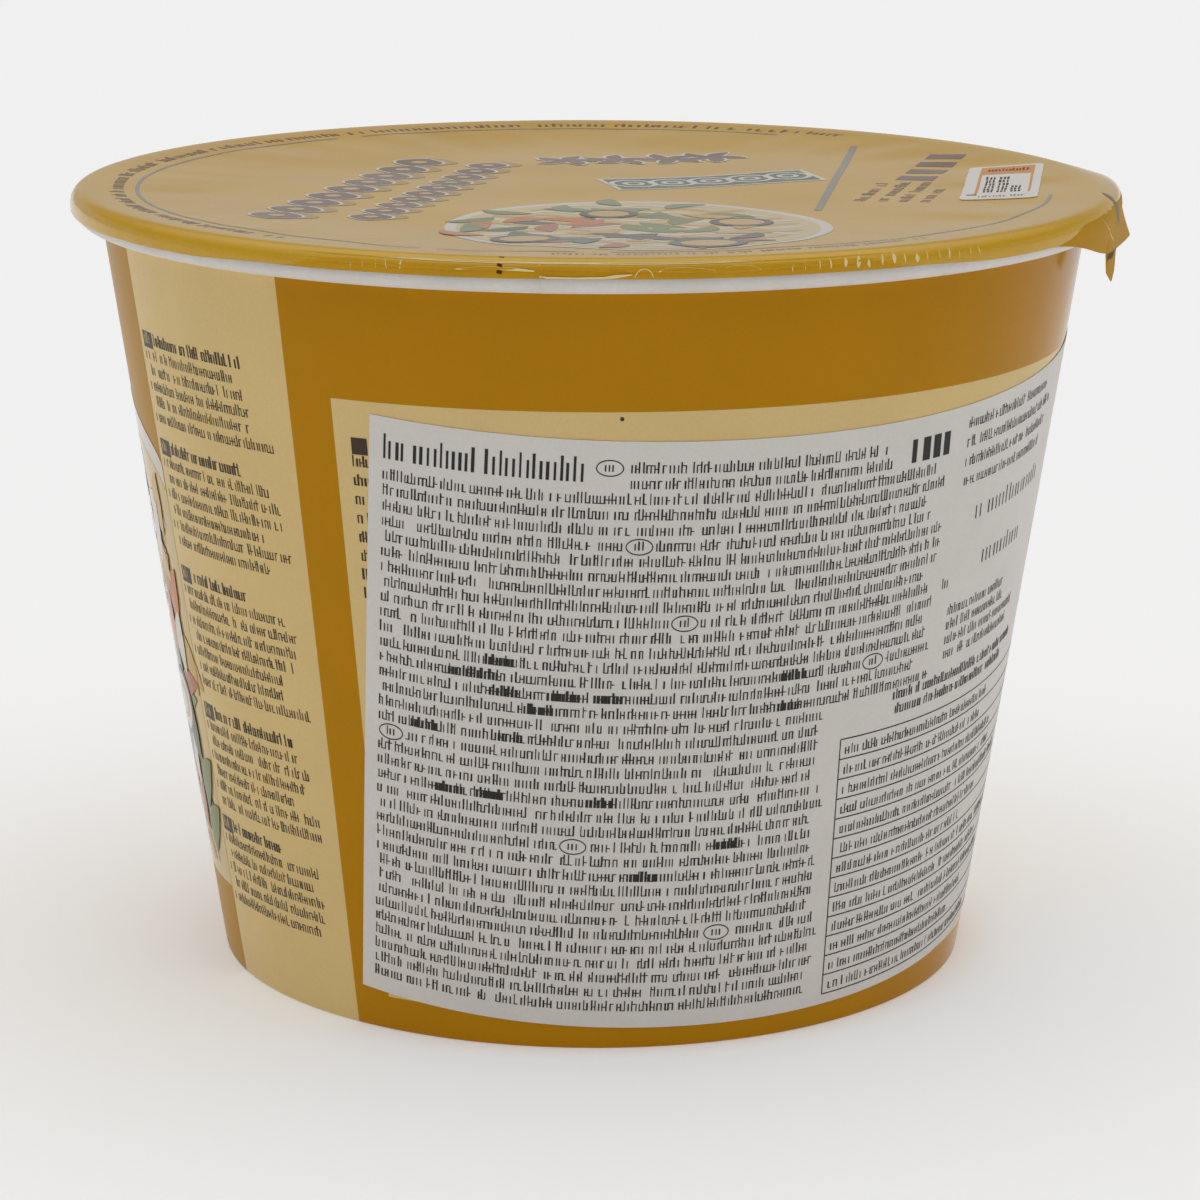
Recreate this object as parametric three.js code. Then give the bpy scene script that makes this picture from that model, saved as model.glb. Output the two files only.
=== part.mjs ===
// A sealed instant noodle cup: a paper cup with a rolled brim, a foil lid with a drooping pull tab,
// a large paper label on the wall and a small sticker on the lid.
// Millimetres, +Z up. The origin is the centre of the foot, and -Y faces the middle of the large label.

import * as THREE from "three";

// Driving dimensions of the cup
const height = 111; // from the table to the top of the lid
const lidRadius = 74; // outside of the lid's skirt
const footRadius = 53.9; // outside of the wall at the table
const wallTopRadius = 69.6; // outside of the wall under the brim
const brimSection = 2.05; // radius of the rolled brim's round section
const footWidth = 2.2; // of the folded paper ring that the cup stands on
const footRecess = 7; // height of the bottom above the table
const footChamfer = 0.4;
const brimArc = { from: -125, to: 135, steps: 14 }; // degrees of the section that show, from +X of the section
const fillDrop = 2.5; // from the brim's top down to the closed top of the cup, under the lid
const fillRadius = 68.7; // of that closed top
const roundSides = 84;

// Driving dimensions of the lid
const lidThickness = 0.4;
const skinGap = 0.15; // air between a skin and what it lies on
const lidDish = 1.5; // how far the lid's middle sags below its edge
const skirtTurn = 92; // degrees that the skirt wraps round the brim
const skirtRows = 10;
const dishRows = 4;

// The pull tab: angles are in degrees from its own middle, positive towards the back of the lid.
// reach and drop are mm out from the skirt and down below its edge, tuck is mm in for each degree past the fold.
const tabMiddle = -34; // where it stands, from +X
const tabBack = { root: 21, corner: 12.5, reach: 5, drop: 6.7 };
const tabFront = { root: -21, corner: -14, drop: 3.9 };
const tabRidge = { top: -20, bottom: -5.5, tuck: 0.4 }; // the slanting fold line
const tabTip = { angle: -8.4, halfWidth: 2.4, length: 6.2 }; // the pointed scrap that hangs from the fold
const tabBendShare = 0.5; // of the tab's length that turns over the brim
const tabLift = 0.65; // of the back's reach that the turn already has
const flareGrowth = 1.6; // power at which the reach grows from front to back
const tabColumns = 35;

// The large label, a rectangle in the plane that the conical wall unrolls to
const label = { width: 134.8, height: 84.2, middle: 45.15, tilt: 2.6, thickness: 0.2, columns: 28, rows: 6 };

// The small sticker on the lid
const sticker = { width: 12, length: 34, corner: 1.4, radius: 57.6, angle: -32.5, turn: -9, thickness: 0.2 };

// Worked out from the above
const brimMiddle = lidRadius - lidThickness - skinGap - brimSection; // radius of the ring it rolls round
const brimTop = height - lidThickness - skinGap;
const brimLevel = brimTop - brimSection;
const wallTop = brimLevel - brimSection;
const wallSlope = (wallTopRadius - footRadius) / wallTop;
const wallAngle = Math.atan(wallSlope);
const lidBend = brimSection + skinGap + lidThickness; // outer radius of the lid where it turns over the brim

const radians = THREE.MathUtils.degToRad;
const paper = (color, roughness) => new THREE.MeshStandardMaterial({ color, roughness, metalness: 0 });

function piece(name, geometry, material) {
  const mesh = new THREE.Mesh(geometry, material);
  mesh.name = name;
  return mesh;
}

// Points of an arc in the (radius, height) plane, angles in degrees
function arcPoints(radius, level, section, from, to, steps) {
  return Array.from({ length: steps + 1 }, (_, i) => {
    const a = radians(from + ((to - from) * i) / steps);
    return new THREE.Vector2(radius + section * Math.cos(a), level + section * Math.sin(a));
  });
}

// The cup: foot ring, conical wall, rolled brim, and closed across the top because the pack is shut
function cupGeometry() {
  const footInside = footRadius - footWidth;
  const profile = [
    new THREE.Vector2(0, footRecess),
    new THREE.Vector2(footInside, footRecess),
    new THREE.Vector2(footInside, footChamfer),
    new THREE.Vector2(footInside + footChamfer, 0),
    new THREE.Vector2(footRadius - footChamfer, 0),
    new THREE.Vector2(footRadius, footChamfer),
    new THREE.Vector2(wallTopRadius, wallTop + footChamfer),
    ...arcPoints(brimMiddle, brimLevel, brimSection, brimArc.from, brimArc.to, brimArc.steps),
    new THREE.Vector2(fillRadius, brimTop - fillDrop),
    new THREE.Vector2(0, brimTop - fillDrop),
  ];
  return new THREE.LatheGeometry(profile, roundSides).rotateX(Math.PI / 2);
}

const smooth = (x) => THREE.MathUtils.smoothstep(x, 0, 1);

// How much of the lid's edge at this angle belongs to the tab: 0 on the plain skirt, 1 on the tab
function tabShare(angle) {
  const back = smooth((tabBack.root - angle) / (tabBack.root - tabBack.corner));
  const front = smooth((angle - tabFront.root) / (tabFront.corner - tabFront.root));
  return Math.min(back, front);
}

// The plain skirt at s from 0 (where the lid starts to turn down) to 1 (its cut edge)
function skirtPoint(s) {
  const a = radians(90 - skirtTurn * s);
  return new THREE.Vector2(brimMiddle + lidBend * Math.cos(a), brimLevel + lidBend * Math.sin(a));
}

// The lid's edge at an angle from the tab's middle. It turns over the brim, and the tab then hangs from it:
// its back flares out, and its front is tucked in past a slanting fold.
function edgePoint(angle, s) {
  const share = tabShare(angle);
  const across = THREE.MathUtils.clamp((angle - tabFront.corner) / (tabBack.corner - tabFront.corner), 0, 1);
  const tip = Math.max(0, 1 - Math.abs(angle - tabTip.angle) / tabTip.halfWidth) * tabTip.length;
  const fall = Math.sin((across * Math.PI) / 2);
  const drop = share * THREE.MathUtils.lerp(tabFront.drop, tabBack.drop, fall) + tip;
  const bend = THREE.MathUtils.lerp(1, tabBendShare, share); // part of s that turns over the brim
  const turned = Math.min(1, s / bend);
  const hung = bend < 1 ? Math.max(0, (s - bend) / (1 - bend)) : 0;
  const flare = share * tabBack.reach * across ** flareGrowth * (tabLift * turned + (1 - tabLift) * hung);
  const fold = THREE.MathUtils.lerp(tabRidge.top, tabRidge.bottom, hung);
  const tuck = share ** 3 * tabRidge.tuck * Math.max(0, fold - angle) * hung ** 2;
  const at = skirtPoint(turned);
  return new THREE.Vector2(at.x + flare - tuck, at.y - drop * hung);
}

// Height of the lid's upper skin at a radius inside the brim
const dishLevel = (radius) => height - lidDish * (1 - (radius / brimMiddle) ** 4);

// Upper skin of the lid: t from 0 (middle) to 1 (where it turns down) is the dish, t from 1 to 2 the edge
function lidSkin(degrees, t) {
  const angle = THREE.MathUtils.euclideanModulo(degrees - tabMiddle + 180, 360) - 180;
  const at = t > 1 ? edgePoint(angle, t - 1) : new THREE.Vector2(brimMiddle * t, dishLevel(brimMiddle * t));
  const a = radians(degrees);
  return new THREE.Vector3(at.x * Math.cos(a), at.x * Math.sin(a), at.y);
}

// A skin's point moved along its outward normal, which comes from its neighbours
function offsetPoint(skin, u, v, du, dv, distance) {
  const alongU = skin(u + du, v).sub(skin(u - du, v));
  const alongV = skin(u, v + dv).sub(skin(u, v - dv));
  return skin(u, v).addScaledVector(alongV.cross(alongU).normalize(), distance);
}

// A closed solid between two skins given as rows of points. A ring's rows wrap round and start at a pole.
function solidBetween(upper, lower, ring) {
  const rows = upper.length;
  const columns = upper[0].length;
  const count = rows * columns; // an upper point's number plus this is the lower point under it
  const faces = [];
  const quad = (a, b, c, d) => faces.push(a, b, c, a, c, d);
  const vertex = (row, column) => row * columns + (column % columns);
  const across = Array.from({ length: ring ? columns : columns - 1 }, (_, column) => column);
  const down = Array.from({ length: rows - 1 }, (_, row) => row);
  for (const row of down) {
    for (const column of across) {
      const [a, b] = [vertex(row, column), vertex(row + 1, column)];
      const [c, d] = [vertex(row + 1, column + 1), vertex(row, column + 1)];
      quad(a, b, c, d);
      quad(count + d, count + c, count + b, count + a);
    }
  }
  const border = across.map((column) => [vertex(rows - 1, column), vertex(rows - 1, column + 1)]);
  if (!ring) {
    border.push(...across.map((column) => [vertex(0, column + 1), vertex(0, column)]));
    border.push(...down.map((row) => [vertex(row, 0), vertex(row + 1, 0)]));
    border.push(...down.map((row) => [vertex(row + 1, columns - 1), vertex(row, columns - 1)]));
  }
  for (const [from, to] of border) quad(to, from, count + from, count + to);
  const geometry = new THREE.BufferGeometry().setFromPoints([...upper.flat(), ...lower.flat()]);
  geometry.setIndex(faces);
  return geometry;
}

// The lid's columns stand close together on the tab and at the cup's own spacing elsewhere
function lidAngles() {
  const tabSpan = tabBack.root - tabFront.root;
  const restColumns = Math.round((roundSides * (360 - tabSpan)) / 360);
  const onTab = Array.from({ length: tabColumns }, (_, i) => tabFront.root + (tabSpan * i) / tabColumns);
  const onRest = Array.from({ length: restColumns }, (_, i) => {
    return tabBack.root + ((360 - tabSpan) * i) / restColumns;
  });
  return [...onTab, ...onRest].map((angle) => angle + tabMiddle);
}

function lidGeometry() {
  const levels = [
    ...Array.from({ length: dishRows + 1 }, (_, i) => i / dishRows),
    ...Array.from({ length: skirtRows }, (_, i) => 1 + (i + 1) / skirtRows),
  ];
  const angles = lidAngles();
  const upper = levels.map((t) => angles.map((angle) => lidSkin(angle, t)));
  const lower = levels.map((t) => {
    const at = THREE.MathUtils.clamp(t, 0.02, 1.98);
    return angles.map((angle) => {
      if (t === 0) return lidSkin(angle, 0).setZ(height - lidDish - lidThickness);
      const inner = offsetPoint(lidSkin, angle, at, 0.2, 0.01, -lidThickness);
      return t < 2 ? inner : inner.add(lidSkin(angle, t)).sub(lidSkin(angle, at));
    });
  });
  return solidBetween(upper, lower, true);
}

// A point of the plane that the wall unrolls to, laid back on the wall and lifted off it.
// x runs to the right of the label's middle line and y up the wall from the table.
function onWall(x, y, lift) {
  const apex = footRadius / Math.sin(wallAngle);
  const slant = Math.hypot(x, apex + y);
  const turn = Math.atan2(x, apex + y) / Math.sin(wallAngle);
  const radius = slant * Math.sin(wallAngle) + lift * Math.cos(wallAngle);
  const level = (slant - apex) * Math.cos(wallAngle) - lift * Math.sin(wallAngle);
  return new THREE.Vector3(radius * Math.sin(turn), -radius * Math.cos(turn), level);
}

function labelGeometry() {
  const turn = radians(label.tilt);
  const layer = (lift) =>
    Array.from({ length: label.rows + 1 }, (_, row) =>
      Array.from({ length: label.columns + 1 }, (_, column) => {
        const x = label.width * (column / label.columns - 0.5);
        const y = label.height * (0.5 - row / label.rows);
        const placed = new THREE.Vector2(x, y).rotateAround(new THREE.Vector2(), turn);
        return onWall(placed.x, label.middle + placed.y, lift);
      }),
    );
  return solidBetween(layer(skinGap + label.thickness), layer(skinGap), false);
}

// A flat rounded rectangle, laid down on the lid's dish
function stickerGeometry() {
  const [x, y, corner] = [sticker.width / 2, sticker.length / 2, sticker.corner];
  const outline = new THREE.Shape()
    .moveTo(-x + corner, -y)
    .lineTo(x - corner, -y)
    .absarc(x - corner, -y + corner, corner, -Math.PI / 2, 0)
    .absarc(x - corner, y - corner, corner, 0, Math.PI / 2)
    .absarc(-x + corner, y - corner, corner, Math.PI / 2, Math.PI)
    .absarc(-x + corner, -y + corner, corner, Math.PI, 1.5 * Math.PI);
  const sheet = { depth: sticker.thickness, bevelEnabled: false, curveSegments: 4 };
  const plate = new THREE.ExtrudeGeometry(outline, sheet);
  plate.rotateZ(radians(sticker.turn)).translate(sticker.radius, 0, 0).rotateZ(radians(sticker.angle));
  const at = plate.getAttribute("position");
  for (let i = 0; i < at.count; i++) {
    at.setZ(i, at.getZ(i) + dishLevel(Math.hypot(at.getX(i), at.getY(i))) + skinGap);
  }
  return plate;
}

const noodleCup = new THREE.Group();
noodleCup.add(piece("cup", cupGeometry(), paper(0xa06c12, 0.42)));
noodleCup.add(piece("lid", lidGeometry(), paper(0xa9781c, 0.3)));
noodleCup.add(piece("label", labelGeometry(), paper(0xd8d4ce, 0.55)));
noodleCup.add(piece("lid_sticker", stickerGeometry(), paper(0xdedad4, 0.5)));

export default noodleCup;
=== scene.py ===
import math

import bpy
from mathutils import Matrix, Vector, noise


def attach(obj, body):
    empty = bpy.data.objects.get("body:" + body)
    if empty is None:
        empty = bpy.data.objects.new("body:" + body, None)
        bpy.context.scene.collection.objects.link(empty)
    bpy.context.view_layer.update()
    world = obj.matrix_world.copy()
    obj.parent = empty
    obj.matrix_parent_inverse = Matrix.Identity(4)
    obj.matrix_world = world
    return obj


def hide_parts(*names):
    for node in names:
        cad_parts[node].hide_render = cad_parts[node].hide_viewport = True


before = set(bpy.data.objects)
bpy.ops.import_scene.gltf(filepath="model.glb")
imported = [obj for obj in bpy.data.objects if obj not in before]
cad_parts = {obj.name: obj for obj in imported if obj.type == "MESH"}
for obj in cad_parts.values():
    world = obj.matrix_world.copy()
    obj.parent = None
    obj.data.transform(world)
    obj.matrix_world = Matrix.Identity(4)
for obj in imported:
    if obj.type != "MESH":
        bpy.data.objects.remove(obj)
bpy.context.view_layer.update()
mm = 0.001  # lengths below are millimetres, angles are degrees, meshes are metres
print("frame loaded:", sorted(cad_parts))


# Small helpers

def mix(a, b, share):
    return a + (b - a) * share


def between(a, b, share):
    return tuple(mix(p, q, share) for p, q in zip(a, b))


def smooth(x):
    x = min(1.0, max(0.0, x))
    return x * x * (3 - 2 * x)


def wave(x, y=0.0, z=0.0):  # steady random wave between about -1 and 1
    return noise.noise(Vector((x, y, z)))


def ringWave(degrees, cycles, layer=0.0):  # the same wave, closed round a circle
    a = math.radians(degrees)
    reach = cycles / math.tau
    return wave(reach * math.cos(a), reach * math.sin(a), layer)


def linearColour(hexText):
    values = [int(hexText[i:i + 2], 16) / 255 for i in (1, 3, 5)]
    return [v / 12.92 if v <= 0.04045 else ((v + 0.055) / 1.055) ** 2.4 for v in values] + [1.0]


def addNode(tree, kind, links=None, **settings):
    node = tree.nodes.new(kind)
    for key, value in settings.items():
        setattr(node, key, value)
    for key, source in (links or {}).items():
        if isinstance(source, bpy.types.NodeSocket):
            tree.links.new(source, node.inputs[key])
        else:
            node.inputs[key].default_value = source
    return node


def gridFaces(rows, columns, wrap):
    faces = []
    for row in range(rows - 1):
        for column in range(columns if wrap else columns - 1):
            after = (column + 1) % columns
            faces.append((row * columns + column, (row + 1) * columns + column,
                          (row + 1) * columns + after, row * columns + after))
    return faces


def fanFaces(pole, columns, first=0):
    return [(pole, first + i, first + (i + 1) % columns) for i in range(columns)]


def closeRings(rings):  # rings of points from one pole to the other, closed with a fan at each pole
    columns = len(rings[0])
    points = [point for ring in rings for point in ring]
    faces = gridFaces(len(rings), columns, True)
    for ring in (0, len(rings) - 1):
        fan = fanFaces(len(points), columns, ring * columns)
        points.append(sum((Vector(p) for p in rings[ring]), Vector()) / columns)
        faces += [(pole, b, a) for pole, a, b in fan] if ring else fan
    return points, faces


def addObject(name, data):
    thing = bpy.data.objects.new(name, data)
    bpy.context.scene.collection.objects.link(thing)
    return thing


def bakedMesh(thing):  # its mesh with the modifiers applied
    bpy.context.view_layer.update()
    return bpy.data.meshes.new_from_object(thing.evaluated_get(bpy.context.evaluated_depsgraph_get()))


def makePiece(name, points, faces, materials, inks=None, sharpAngle=40, replaced=None):
    mesh = bpy.data.meshes.new(name)
    mesh.from_pydata([Vector(p) * mm for p in points], [], faces)
    for material in materials:
        mesh.materials.append(material)
    if inks:
        mesh.polygons.foreach_set("material_index", inks)
    mesh.shade_smooth()
    mesh.set_sharp_from_angle(angle=math.radians(sharpAngle))
    mesh.validate()
    piece = addObject(name, mesh)
    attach(piece, "root")
    if replaced:
        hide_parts(replaced)
    print("made", name, len(mesh.polygons), "faces")
    return piece


def thicken(piece, thickness, innerMaterial=0):  # a sheet grows inwards, its back may have its own material
    modifier = piece.modifiers.new("sheet thickness", "SOLIDIFY")
    modifier.thickness = thickness * mm
    modifier.offset = -1
    modifier.material_offset = innerMaterial
    mesh = bakedMesh(piece)
    mesh.set_sharp_from_angle(angle=math.radians(70))
    mesh.name = piece.name + " sheet"
    piece.modifiers.remove(modifier)
    piece.data = mesh


# Materials

# each finish: roughness, shine, blotches in the ink (mm, strength), grain (mm, strength), paper's tooth (mm)
# the grain is drawn coarser than real fibres, so that it shows
finishes = {
    "varnishedBoard": (0.14, 0.08, 14, 0.025, 0.4, 0.025, 0.003),  # smooth varnish, soft sheen at the sides
    "dullBoard": (0.3, 0.045, 14, 0.025, 0.4, 0.025, 0.003),  # thinner varnish, a broad faint sheen
    "bareBoard": (0.5, 0.3, 9, 0.04, 0.7, 0.03, 0.012),  # uncoated rolled paper, matt and a little rough
    "lidFilm": (0.15, 0.42, 18, 0.04, 0.6, 0.03, 0.003),  # clear film over the print, bright in flat light
    "sealedFilm": (0.35, 0.22, 9, 0.04, 0.6, 0.03, 0.003),  # film pressed on the brim, less glossy
    "creasedFilm": (0.55, 0.06, 6, 0.05, 0.6, 0.03, 0.004),  # film gone dull where it is bent
    "labelPaper": (0.48, 0.3, 11, 0.025, 0.4, 0.025, 0.006),  # satin paper
}


def printedPaper(name, hexText, finish):
    roughness, shine, mottleMm, mottling, grainMm, graining, toothMm = finishes[finish]
    material = bpy.data.materials.new(name)
    material.use_nodes = True
    tree = material.node_tree
    tree.nodes.clear()
    place = addNode(tree, "ShaderNodeTexCoord").outputs["Object"]
    gains = []
    for size, strength, detail, rough in ((mottleMm, mottling, 3.0, 0.5), (grainMm, graining, 2.0, 0.6)):
        pattern = addNode(tree, "ShaderNodeTexNoise", {
            "Vector": place, "Scale": 1 / (size * mm), "Detail": detail, "Roughness": rough}).outputs["Fac"]
        gains.append(addNode(tree, "ShaderNodeMapRange", {
            "Value": pattern, "From Min": 0.3, "From Max": 0.7,
            "To Min": 1 - strength, "To Max": 1 + strength}).outputs[0])
    both = addNode(tree, "ShaderNodeMath", dict(enumerate(gains)), operation="MULTIPLY")
    ink = addNode(tree, "ShaderNodeVectorMath", {
        0: linearColour(hexText)[:3], "Scale": both.outputs[0]}, operation="SCALE")
    tooth = addNode(tree, "ShaderNodeBump", {  # the fine grain is also the paper's tooth
        "Height": pattern, "Strength": 1.0, "Distance": toothMm * mm})
    shader = addNode(tree, "ShaderNodeBsdfPrincipled", {
        "Base Color": ink.outputs[0], "Roughness": roughness, "IOR": 1.5,
        "Specular IOR Level": shine, "Normal": tooth.outputs[0]})
    addNode(tree, "ShaderNodeOutputMaterial", {"Surface": shader.outputs[0]})
    return material


ochreBoard = printedPaper("ochre print on coated board", "#c08605", "varnishedBoard")
ochreDull = printedPaper("duller ochre print on coated board", "#bc8a1c", "dullBoard")
creamBoard = printedPaper("cream print on coated board", "#e4c789", "varnishedBoard")
whiteBoard = printedPaper("white uncoated board", "#ded9d2", "bareBoard")
lidOchre = printedPaper("ochre print under lid film", "#d3a41b", "lidFilm")
# partly painted shade: the duller finish of bent film is real, the darker ochre stands in for shade on the
# hanging tab
lidCreasedShaded = printedPaper("ochre print under creased lid film", "#bf8e10", "creasedFilm")
lidSeal = printedPaper("ochre print under sealed lid film", "#cd9912", "sealedFilm")
# painted shade: a dark brown for the top of the tab's folded corner, standing in for the fold's shadow
lidFoldShade = printedPaper("painted shade in the tab's folded corner", "#573a10", "creasedFilm")
lidUnder = printedPaper("grey sealing side of the lid", "#b9a888", "lidFilm")
labelWhite = printedPaper("white label paper", "#e2ddd6", "labelPaper")
print("materials made")


# The paper cup

cupSizes = {
    "height": 111.0, "lidRadius": 74.0, "footRadius": 53.9, "wallTopRadius": 69.6, "brimSection": 2.05,
    "footWidth": 2.2, "footRecess": 7.0, "footRound": 0.4, "fillDrop": 2.5, "fillRadius": 68.7,
    "lidThickness": 0.4, "skinGap": 0.15, "recessRound": 0.8, "brimWave": 0.05, "brimCycles": 40,
    "turnStep": 1.5, "brimCuts": 28, "brimFrom": 135, "brimArc": 260, "wallRows": 20, "footCuts": 4,
}
photoTurn = 34.0  # the view's middle stands this far to the left of the label's middle
cupPrint = {  # colour fields of the wall: turns from the label's middle, heights above the table
    "panelEdges": (70.4, 100.2), "boxEdge": 64.4, "boxFoot": 5.0, "boxTop": 90.4,
}
brimSeam = {"turn": -39.2, "width": 3.0, "step": 0.13}  # where the paper's ends overlap in the roll

brimMiddle = cupSizes["lidRadius"] - cupSizes["lidThickness"] - cupSizes["skinGap"] - cupSizes["brimSection"]
brimTop = cupSizes["height"] - cupSizes["lidThickness"] - cupSizes["skinGap"]
brimLevel = brimTop - cupSizes["brimSection"]
wallTop = brimLevel - cupSizes["brimSection"]
wallAngle = math.atan((cupSizes["wallTopRadius"] - cupSizes["footRadius"]) / wallTop)
wallApex = cupSizes["footRadius"] / math.sin(wallAngle)  # slant length from the cone's tip to the table


def wallRadius(level):
    return cupSizes["footRadius"] + level * math.tan(wallAngle)


def polar(turn, radius, level):  # turn is counted from -Y towards +X
    a = math.radians(turn)
    return Vector((radius * math.sin(a), -radius * math.cos(a), level))


def onWall(turn, level, lift=0.0):
    radius = wallRadius(level) + lift * math.cos(wallAngle)
    return polar(turn, radius, level - lift * math.sin(wallAngle))


def onUnrolledWall(x, y, lift=0.0):  # x right of the label's middle, y up the wall, on the wall laid out flat
    slant = math.hypot(x, wallApex + y)
    turn = math.degrees(math.atan2(x, wallApex + y) / math.sin(wallAngle))
    return onWall(turn, (slant - wallApex) * math.cos(wallAngle), lift)


def cupTurns():
    step = cupSizes["turnStep"]
    edges = [side * turn for turn in (*cupPrint["panelEdges"], cupPrint["boxEdge"]) for side in (-1, 1)]
    edges += [brimSeam["turn"], brimSeam["turn"] + 0.1]
    regular = [-180 + step * i for i in range(int(360 / step))]
    kept = [turn for turn in regular if min(abs(turn - edge) for edge in edges) > step / 3]
    return sorted(kept + edges)


def makeCup():
    s = cupSizes
    profile = [(s["fillRadius"] * share, brimTop - s["fillDrop"], "white") for share in (0.5, 1)]
    for i in range(s["brimCuts"] + 1):  # the rolled brim, from inside over the top to the wall
        a = math.radians(s["brimFrom"] - i * s["brimArc"] / s["brimCuts"])
        profile.append((brimMiddle + s["brimSection"] * math.cos(a),
                        brimLevel + s["brimSection"] * math.sin(a), "white"))
    levels = [wallTop * i / s["wallRows"] for i in range(s["wallRows"] + 1)]
    levels = sorted(levels + [cupPrint["boxFoot"], cupPrint["boxTop"]], reverse=True)
    profile += [(wallRadius(level), level, "print") for level in levels if level > s["footRound"]]
    for i in range(s["footCuts"] + 1):
        a = math.radians(-90 * i / s["footCuts"])
        profile.append((s["footRadius"] - s["footRound"] * (1 - math.cos(a)),
                        s["footRound"] * (1 + math.sin(a)), "print"))
    inside, recess = s["footRadius"] - s["footWidth"], s["footRecess"]
    under = ((inside + s["footRound"], 0), (inside, s["footRound"]), (inside, recess - s["recessRound"]),
             (inside - s["recessRound"], recess), (inside * 0.5, recess))
    profile += [(radius, level, "white") for radius, level in under]
    turns = cupTurns()
    rings = []
    for radius, level, kind in profile:
        ring = []
        for turn in turns:
            grown = radius
            if level > wallTop - 0.5 and radius > s["fillRadius"]:  # paper laps over itself at the seam
                past = (turn - brimSeam["turn"]) / brimSeam["width"]
                if past > 0:
                    grown += brimSeam["step"] * smooth(1 - past)
                grown += s["brimWave"] * ringWave(turn, s["brimCycles"], 3)
            ring.append(polar(turn, grown, level))
        rings.append(ring)
    points, faces = closeRings(rings)
    inks = []
    for face in faces:
        middle = sum((Vector(points[i]) for i in face), Vector()) / len(face)
        row = min(face) // len(turns) if len(face) == 4 else 0
        kind = profile[min(row + 1, len(profile) - 1)][2]
        turn = abs(math.degrees(math.atan2(middle.x, -middle.y)))
        panel = cupPrint["panelEdges"][0] < turn < cupPrint["panelEdges"][1]
        box = turn < cupPrint["boxEdge"] and cupPrint["boxFoot"] < middle.z < cupPrint["boxTop"]
        far = turn > cupPrint["panelEdges"][1]
        inks.append(2 if kind == "white" or len(face) == 3 else 1 if panel or box else 3 if far else 0)
    skins = [ochreBoard, creamBoard, whiteBoard, ochreDull]
    makePiece("paper_cup", points, faces, skins, inks, replaced="cup")


makeCup()


# The lid

lidSizes = {
    "dish": 1.5, "thickness": 0.1,
    "skirtStart": -4.8, "skirtTurn": 87.0, "ragged": 2.5,  # degrees of the turn over the brim
    "raggedCycles": 34,
    "longerBy": 11.0, "longerFrom": 33.0, "longerOver": 14.0,
    "shorterBy": 17.0, "shorterAt": -108.0, "shorterSpread": 38.0,
    "dishRows": 30, "edgeRows": 50, "turnStep": 0.8, "tabStep": 0.3,
    "shoulder": 0.1,  # how much squarer than round the turn over the brim is
    "ridge": 0.1, "ridgeAt": 43.0, "ridgeSpread": 1.8, "sealStep": 0.16,  # bend and sealed step in front
    "waves": 0.34, "waveMm": 24.0, "edgeWaves": 0.24, "edgeCycles": 44, "calmRim": 6,
    "crimps": 0.16, "crimpCycles": 330, "crimpGroups": 11, "crimpFrom": 30, "crimpOver": 25,
    "frontEnds": 34, "frontFade": 8, "behindStarts": 120, "behindFade": 15, "behindSharp": 0.7,
    "sealAt": 63, "sealOver": 3, "sealEnds": 115, "sealFade": 30,
    "sealWaves": ((12, 26, 11.0), (5, 80, 12.0)),  # size, waves round the rim, layer
    "rowCrowds": ((4, 43.0, 5), (1.5, 64, 12)),  # how much closer the rows lie, at which degrees, spread
}
tab = {  # angles from its own middle, positive towards the back
    "middle": 56.0, "backRoot": 21.0, "backCorner": 12.5, "reach": 6.3, "backDrop": 6.7,
    "frontRoot": -36.0, "frontCorner": -12.0, "frontDrop": 4.4, "fold": -10.3, "tuck": 0.1,
    "bendShare": 0.5, "lift": 0.58, "sag": 0.9, "flareGrowth": 1.6, "creasedFrom": 0.62, "creasedOver": 0.4,
    "levelUntil": 0.45,
}
flap = {  # the tab's folded corner; shade and shadeSlope bound the painted shade at its top
    "angle": -13.4, "halfWidth": 2.9, "length": 4.3, "shoulders": 0.57, "peak": 0.3, "steepness": 6,
    "shade": 0.41, "shadeSlope": 0.42,
}
lidBend = cupSizes["brimSection"] + cupSizes["skinGap"] + cupSizes["lidThickness"]
lidReach = brimMiddle + lidBend * math.sin(math.radians(lidSizes["skirtStart"]))


def lidLevel(x, y):  # height of the lid's upper skin inside the brim, a shallow dish
    s = lidSizes
    radius = math.hypot(x, y)
    turn = math.degrees(math.atan2(x, -y))
    calm = smooth((1 - radius / lidReach) * s["calmRim"])
    level = -s["dish"] * (1 - (radius / lidReach) ** 4)
    level += s["waves"] * calm * wave(x / s["waveMm"], y / s["waveMm"], 4.0)
    outer = smooth(radius / lidReach * 3 - 1.8)
    level += s["edgeWaves"] * outer * calm * ringWave(turn, s["edgeCycles"], 1.0)
    return cupSizes["height"] + level


def turnFrom(turn, middle):  # the short way round
    return (turn - middle + 180) % 360 - 180


def tabShare(angle):
    back = smooth((tab["backRoot"] - angle) / (tab["backRoot"] - tab["backCorner"]))
    front = smooth((angle - tab["frontRoot"]) / (tab["frontCorner"] - tab["frontRoot"]))
    return min(back, front)


def sharpness(turn):  # the film is bent sharply in front and behind, softly at both sides
    s = lidSizes
    aside = abs(turnFrom(turn, -photoTurn))
    front = smooth((s["frontEnds"] - aside) / s["frontFade"])
    return max(front, s["behindSharp"] * smooth((aside - s["behindStarts"]) / s["behindFade"]))


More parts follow.
